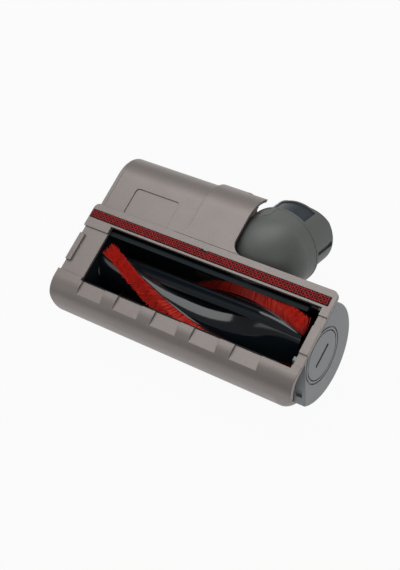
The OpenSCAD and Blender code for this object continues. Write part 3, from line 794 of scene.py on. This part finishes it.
@dataclass
class Housing:
    """The grey mouldings of the head, with their screws and its black liner."""

    screws: tuple[str, ...] = ("cover_screws", "motor_screws")
    black: tuple[str, ...] = ("chamber_liner", "neck_socket", "motor_bulkhead")

    def build(self) -> None:
        """Dresses each moulding of the head."""
        for shell in Shell:
            dress(shell.value, SHELL_GREY)
        for node in self.black:
            dress(node, LINER_BLACK)
        for node in self.screws:
            dress(node, STEEL)
        dress("neck_seal", SEAL_BLACK)


@dataclass
class BrushBar:
    """The twisted brush bar with its two rows of bristles."""

    # Bar, in millimetres and degrees
    start: float = 1.0
    end: float = 123.2
    lobe: float = 12.0
    waist: float = 6.6
    fullness: float = 2.5
    flank_steps: int = 40
    lip: float = 0.5
    lip_height: float = 0.1
    lip_corner: float = 0.2
    groove: float = 9.0
    groove_fill: float = 1.2
    start_angle: float = 60.5
    twist: float = 186.0
    steps: int = 220
    sharp: float = 32.0

    # Rows
    row_width: float = 4.4
    row_air: float = 0.05
    row_fill: float = 0.94
    row_start: float = 7.0
    row_end: float = 123.1
    row_limit: float = 124.4
    root_rise: float = 1.4
    tip: float = 18.7
    tip_short: float = 0.4
    tip_spread: float = 0.3
    fan: float = 1.9
    lean_spread: float = 0.3
    slant_spread: float = 0.26
    end_slant: float = 1.6
    end_reach: float = 2.4

    # Tufts and single bristles
    bristles: int = 6400
    tuft: float = 0.8
    tuft_bend: float = 0.22
    tuft_trim: float = 0.16
    tuft_tint: float = 0.5
    thickness: tuple[float, float] = (0.11, 0.19)
    taper: float = 0.75
    joint: float = 0.55
    seed: int = 7

    def place(self) -> Matrix:
        """Matrix from the bar's own frame, with Z along it, to the row frame."""
        stand = Matrix(((0, 0, 1, 0), (1, 0, 0, 0), (0, 1, 0, 0), (0, 0, 0, 1)))
        axis = Matrix.Translation((0.0, LIE.axis_y, LIE.axis_z))
        return LIE.matrix @ axis @ stand

    def section(self) -> Outline:
        """Gives the bar's outline as points round it, lobes on the X axis."""
        half = self.row_width / 2 + self.row_air
        outer = half + self.lip
        power = 2.0 / self.fullness
        first = math.asin((outer / self.waist) ** (1.0 / power))
        foot = self.lobe * math.cos(first) ** power
        face = self.lobe + self.lip_height
        floor = self.groove + self.groove_fill
        corner = self.lip_corner
        side = [
            (floor, half),
            (face - corner, half),
            (face, half + corner / 2),
            (face, outer - corner),
            (face - corner, outer - corner / 2),
            (foot, outer),
        ]
        channel = [(x, -y) for x, y in reversed(side)] + side
        flank = []
        for step in range(1, self.flank_steps):
            a = first + (math.pi - 2 * first) * step / self.flank_steps
            x = self.lobe * abs(math.cos(a)) ** power
            flank.append(
                (math.copysign(x, math.cos(a)), self.waist * math.sin(a) ** power)
            )
        half_outline = channel + flank
        return turned(half_outline, 0.0) + turned(half_outline, math.pi)

    def bar(self) -> bpy.types.Object:
        """Winds the section along the axis into the polished bar.

        Returns:
            The bar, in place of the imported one.
        """
        outline = turned(self.section(), math.radians(self.start_angle))
        deselect()
        bpy.ops.mesh.primitive_circle_add(vertices=len(outline), radius=self.lobe)
        piece = active()
        for vertex, (x, y) in zip(piece.data.vertices, outline):
            vertex.co = (x, y, self.start)
        screw = piece.modifiers.new("wind", "SCREW")
        screw.axis = "Z"
        screw.angle = math.radians(self.twist)
        screw.screw_offset = self.end - self.start
        screw.steps = screw.render_steps = self.steps
        screw.use_merge_vertices = False
        apply_modifiers(piece)
        bpy.ops.object.mode_set(mode="EDIT")
        bpy.ops.mesh.select_all(action="SELECT")
        bpy.ops.mesh.remove_doubles(threshold=MERGE_DISTANCE)
        bpy.ops.mesh.select_all(action="DESELECT")
        bpy.ops.mesh.select_mode(type="EDGE")
        bpy.ops.mesh.select_non_manifold()
        bpy.ops.mesh.fill()
        bpy.ops.mesh.select_all(action="SELECT")
        bpy.ops.mesh.normals_make_consistent(inside=False)
        bpy.ops.object.mode_set(mode="OBJECT")
        settle(piece, "polished_bar", self.place(), "brush", BAR_BLACK, self.sharp)
        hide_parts("brush_body")
        return piece

    def angle_at(self, x: np.ndarray) -> np.ndarray:
        """Gives the bar's turn, in radians, at distances x along it."""
        rate = self.twist / (self.end - self.start)
        return np.radians(self.start_angle + (x - self.start) * rate)

    def bristle(self) -> bpy.types.Object:
        """Models one tapered bristle, 1 unit long, with a ring of points on its way."""
        deselect()
        bpy.ops.mesh.primitive_cone_add(
            vertices=3,
            radius1=1.0,
            radius2=self.taper,
            depth=1.0,
            location=(0, 0, 0.5),
            end_fill_type="NOTHING",
        )
        piece = active()
        bpy.ops.object.transform_apply(location=True)
        bpy.ops.object.mode_set(mode="EDIT")
        bpy.ops.mesh.select_all(action="SELECT")
        bpy.ops.mesh.bisect(plane_co=(0, 0, self.joint), plane_no=(0, 0, 1))
        bpy.ops.object.mode_set(mode="OBJECT")
        return piece

    def row(self, row: Row) -> bpy.types.Object:
        """Plants one row of bristles in the bar's channel.

        Args:
            row: Which of the two rows.

        Returns:
            The row, in place of its packed rib.
        """
        node, turn = row.value
        rng = np.random.default_rng(self.seed + int(turn))
        n = self.bristles
        x = np.sort(rng.uniform(self.row_start, self.row_end, n))
        across = rng.uniform(-1.0, 1.0, n) * self.row_width / 2 * self.row_fill
        tufts = int((self.row_end - self.row_start) / self.tuft)
        tuft = np.clip(((x - self.row_start) / self.tuft).astype(int), 0, tufts - 1)
        shade = rng.uniform(0.0, 1.0, tufts)[tuft]
        bend = rng.normal(0, self.tuft_bend, tufts)[tuft]
        trim = rng.normal(0, self.tuft_trim, tufts)[tuft]
        angle = self.angle_at(x) + math.radians(turn)
        radial = np.c_[np.cos(angle), np.sin(angle), np.zeros(n)]
        cross = np.c_[-np.sin(angle), np.cos(angle), np.zeros(n)]
        along = np.c_[np.zeros(n), np.zeros(n), np.ones(n)]
        root_r = self.groove + self.root_rise
        root = radial * root_r + cross * across[:, None] + along * x[:, None]
        length = rng.normal(self.tip - self.tip_short, self.tip_spread, n)
        length = np.minimum(length + trim, self.tip)
        lean = rng.normal(0, self.lean_spread, n)
        slant = rng.normal(0, self.slant_spread, n) + bend
        # The rows' last bristles splay outward
        near_end = np.clip((x - self.row_end + self.end_reach) / self.end_reach, 0, 1)
        near_start = np.clip(
            (self.row_start + self.end_reach - x) / self.end_reach, 0, 1
        )
        slant += self.end_slant * near_end**2
        slant -= self.end_slant * near_start**2
        slant = np.minimum(slant, self.row_limit - x)
        tip = (
            radial * length[:, None]
            + cross * (across * self.fan + lean)[:, None]
            + along * (x + slant)[:, None]
        )
        reach = np.linalg.norm(tip[:, :2], axis=1)
        tip[:, :2] *= np.minimum(1.0, self.tip / reach)[:, None]
        up = tip - root
        side = np.cross(up, rng.normal(0, 1, (n, 3)))
        side /= np.linalg.norm(side, axis=1)[:, None]
        width = rng.uniform(*self.thickness, n)
        own = rng.uniform(0.0, 1.0 - self.tuft_tint, n)
        tint = np.clip(self.tuft_tint * shade + own, 0, 1)
        name = node + "_nylon"
        piece = repeat_mesh(self.bristle(), frames(root, side, up, width), tint, name)
        settle(piece, name, self.place(), "brush", NYLON_RED, None)
        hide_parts(node)
        return piece

    def build(self) -> None:
        """Builds the bar and both rows, and dresses the bar's two ends."""
        self.bar()
        for row in Row:
            self.row(row)
        dress("drive_dog", LINER_BLACK)
        dress("end_spindle", LINER_BLACK)


@dataclass
class PileStrip:
    """The woven pile strip in its channel behind the mouth."""

    x0: float = -15.5
    x1: float = 129.5
    y0: float = 33.9
    y1: float = 38.6
    floor: float = -1.3
    ground: float = 0.05
    edge_round: float = 0.3
    crown: float = 0.45
    pitch: float = 1.22
    rows: int = 4
    stitch: tuple[float, float, float] = (0.74, 0.36, 0.46)
    stretch: tuple[float, float] = (0.85, 1.05)
    lean: float = 42.0
    lean_spread: float = 0.08
    depth_spread: float = 0.03
    end_space: float = 0.8
    lead: float = 0.6
    side_space: float = 0.25
    nib_x: float = 57.0
    nib_space: float = 1.8
    sharp: float = 80.0
    seed: int = 11

    def base(self) -> bpy.types.Object:
        """Models the dark ground cloth, with its long edges rounded.

        Returns:
            The ground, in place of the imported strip.
        """
        deselect()
        bpy.ops.mesh.primitive_cube_add(size=1.0)
        piece = active()
        piece.scale = (self.x1 - self.x0, self.y1 - self.y0, self.ground - self.floor)
        piece.location = (
            (self.x0 + self.x1) / 2,
            (self.y0 + self.y1) / 2,
            (self.ground + self.floor) / 2,
        )
        bpy.ops.object.transform_apply(location=True, rotation=True, scale=True)
        bevel = piece.modifiers.new("edges", "BEVEL")
        bevel.width = self.edge_round
        bevel.segments = 3
        apply_modifiers(piece)
        set_attribute(piece.data, "along", np.ones(len(piece.data.vertices)))
        set_attribute(piece.data, "tint", np.ones(len(piece.data.vertices)))
        settle(piece, "pile_ground", LIE.matrix, "head", PILE_GROUND)
        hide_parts("felt_strip")
        return piece

    def knot(self) -> bpy.types.Object:
        """Models one stitch of pile, 1 unit high, as a rounded cushion."""
        deselect()
        bpy.ops.mesh.primitive_uv_sphere_add(
            segments=8, ring_count=6, radius=0.5, location=(0, 0, 0.5)
        )
        piece = active()
        bpy.ops.object.transform_apply(location=True)
        return piece

    def stitches(self) -> bpy.types.Object:
        """Lays the red stitches, turned left and right in turn, over the ground.

        Returns:
            All the stitches as one piece.
        """
        rng = np.random.default_rng(self.seed)
        length, width, height = self.stitch
        places, tints = [], []
        columns = int((self.x1 - self.x0 - self.end_space) / self.pitch)
        step_y = (self.y1 - self.y0 - 2 * self.side_space) / self.rows
        for i in range(columns):
            for j in range(self.rows):
                x = self.x0 + self.lead + (i + 0.5) * self.pitch
                y = self.y0 + self.side_space + (j + 0.5) * step_y
                # The nib takes the rear row's place
                if abs(x - self.nib_x) < self.nib_space and j == self.rows - 1:
                    continue
                lean = math.radians(self.lean if (i + j) % 2 else -self.lean)
                lean += rng.normal(0, self.lean_spread)
                turn = Matrix.Rotation(lean, 4, "Z")
                long = length * 2 * rng.uniform(*self.stretch)
                size = Matrix.Diagonal((long, width * 2, height, 1.0))
                low = self.crown - height + rng.normal(0, self.depth_spread)
                places.append(np.array(Matrix.Translation((x, y, low)) @ turn @ size))
                tints.append(rng.uniform(0.0, 1.0))
        piece = repeat_mesh(
            self.knot(), np.array(places), np.array(tints), "pile_stitches"
        )
        return settle(
            piece, "pile_stitches", LIE.matrix, "head", PILE_RED, self.sharp
        )

    def build(self) -> None:
        """Builds the ground and its stitches."""
        self.base()
        self.stitches()


@dataclass
class Drive:
    """Motor, belt and pulleys inside the housing."""

    finishes: dict[str, Finish] = field(
        default_factory=lambda: {
            "motor_can": STEEL,
            "motor_end_bell": LINER_BLACK,
            "motor_cushion": SEAL_BLACK,
            "circuit_board": BOARD,
            "rotor_shaft": STEEL,
            "drive_pinion": STEEL,
            "drive_belt": BELT_BLACK,
            "driven_pulley": PULLEY_WHITE,
            "pulley_bearing": STEEL,
        }
    )

    def build(self) -> None:
        """Dresses each piece of the drive."""
        for node, finish in self.finishes.items():
            dress(node, finish)


@dataclass
class Neck:
    """The swivelling elbow with its connecting tube and contacts."""

    finishes: dict[str, Finish] = field(
        default_factory=lambda: {
            "neck_elbow": NECK_GREY,
            "neck_tube": NECK_GREY,
            "neck_clip": STEEL,
            "contact_block": CONTACT_NAVY,
        }
    )

    def build(self) -> None:
        """Dresses each piece of the neck."""
        for node, finish in self.finishes.items():
            dress(node, finish)


@dataclass
class EndCap:
    """The removable end cap with its bearing and coin lock."""

    finishes: dict[str, Finish] = field(
        default_factory=lambda: {
            "end_cap": CAP_GREY,
            "coin_lock": CAP_GREY,
            "lock_clip": STEEL,
            "bearing_holder": LINER_BLACK,
            "end_bearing": BRASS,
        }
    )

    def build(self) -> None:
        """Dresses each piece of the end cap."""
        for node, finish in self.finishes.items():
            dress(node, finish)


# Studio


@dataclass
class Studio:
    """Pale floor, soft boxes and the camera at the photograph's angle."""

    camera_at: tuple[float, float, float] = (334.0, -103.3, 469.9)
    right: tuple[float, float, float] = (0.8131, 0.4699, -0.3434)
    down: tuple[float, float, float] = (0.3204, -0.8540, -0.4100)
    focal_px: float = 1129.3
    frame_px: float = 570.0
    sensor: float = 36.0
    clip: tuple[float, float] = (0.01, 20.0)
    floor_size: float = 6.0
    floor_gap: float = 0.0002
    floor_grey: float = 0.42
    floor_roughness: float = 0.9
    floor_gloss: float = 0.1
    floor_glow: float = 0.95
    ambient: float = 0.15

    def floor(self) -> None:
        """Lays the floor and gives it a pale, even surface."""
        deselect()
        bpy.ops.mesh.primitive_plane_add(
            size=self.floor_size, location=(0, 0, -self.floor_gap)
        )
        piece = active()
        piece.name = "studio_floor"
        material = bpy.data.materials.new("pale floor")
        material.use_nodes = True
        nodes = Nodes(material.node_tree)
        shader = nodes.add("BsdfPrincipled")
        shader.inputs["Base Color"].default_value = (*[self.floor_grey] * 3, 1.0)
        shader.inputs["Roughness"].default_value = self.floor_roughness
        shader.inputs["Specular IOR Level"].default_value = self.floor_gloss
        glow = nodes.add("Emission")
        glow.inputs["Strength"].default_value = 1.0
        # The camera and mirrored rays see a nearly white floor
        path = nodes.add("LightPath")
        seen = nodes.add("Math", operation="MAXIMUM")
        nodes.link(path.outputs["Is Camera Ray"], seen.inputs[0])
        nodes.link(path.outputs["Is Glossy Ray"], seen.inputs[1])
        share = nodes.add("Math", operation="MULTIPLY")
        nodes.link(seen.outputs[0], share.inputs[0])
        share.inputs[1].default_value = self.floor_glow
        mixed = nodes.mix_shaders(
            share.outputs[0], shader.outputs[0], glow.outputs[0]
        )
        nodes.output("OutputMaterial", mixed)
        piece.data.materials.append(material)

    def world(self) -> None:
        """Surrounds the set with soft light, and with white where the camera looks."""
        world = bpy.data.worlds.new("studio")
        bpy.context.scene.world = world
        world.use_nodes = True
        nodes = Nodes(world.node_tree)
        soft = nodes.add("Background")
        soft.inputs["Strength"].default_value = self.ambient
        white = nodes.add("Background")
        white.inputs["Strength"].default_value = 1.0
        for background in (soft, white):
            background.inputs["Color"].default_value = (1.0, 1.0, 1.0, 1.0)
        path = nodes.add("LightPath")
        mixed = nodes.mix_shaders(
            path.outputs["Is Camera Ray"], soft.outputs[0], white.outputs[0]
        )
        nodes.output("OutputWorld", mixed)

    def lamps(self) -> None:
        """Hangs the soft boxes."""
        for lamp in Lamp:
            place, aim, width, height, power = lamp.value
            light = bpy.data.lights.new(lamp.name.lower(), "AREA")
            light.shape = "RECTANGLE"
            light.size = width
            light.size_y = height
            light.energy = power
            holder = bpy.data.objects.new(lamp.name.lower(), light)
            holder.location = place
            look = Vector(aim) - Vector(place)
            holder.rotation_euler = look.to_track_quat("-Z", "Y").to_euler()
            bpy.context.scene.collection.objects.link(holder)

    def camera(self) -> None:
        """Sets the camera where the photograph was taken from."""
        data = bpy.data.cameras.new("photo camera")
        data.sensor_fit = "AUTO"
        data.sensor_width = self.sensor
        data.lens = self.focal_px / self.frame_px * self.sensor
        data.clip_start, data.clip_end = self.clip
        holder = bpy.data.objects.new("photo camera", data)
        right = LIE.direction(*self.right).normalized()
        up = -LIE.direction(*self.down)
        back = right.cross(up).normalized()
        up = back.cross(right)
        turn = Matrix((right, up, back)).transposed().to_4x4()
        holder.matrix_world = Matrix.Translation(LIE.point(*self.camera_at)) @ turn
        bpy.context.scene.collection.objects.link(holder)
        bpy.context.scene.camera = holder

    def build(self) -> None:
        """Builds the whole set."""
        self.floor()
        self.world()
        self.lamps()
        self.camera()
        bpy.context.scene.view_settings.view_transform = "Standard"


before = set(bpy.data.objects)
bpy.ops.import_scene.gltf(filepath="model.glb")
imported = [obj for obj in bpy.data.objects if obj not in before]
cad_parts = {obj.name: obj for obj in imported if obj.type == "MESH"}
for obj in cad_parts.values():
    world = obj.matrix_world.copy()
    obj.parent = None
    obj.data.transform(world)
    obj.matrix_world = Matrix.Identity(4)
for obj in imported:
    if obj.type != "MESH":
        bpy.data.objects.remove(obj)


def main() -> None:
    """Builds every sub-assembly and the studio in order."""
    logging.basicConfig(level=logging.INFO, format="%(name)s: %(message)s")
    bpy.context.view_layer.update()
    parts = (Housing(), PileStrip(), BrushBar(), Drive(), Neck(), EndCap(), Studio())
    for part in parts:
        part.build()
        LOG.info("%s built", type(part).__name__)
    deselect()


if __name__ == "__main__":
    main()
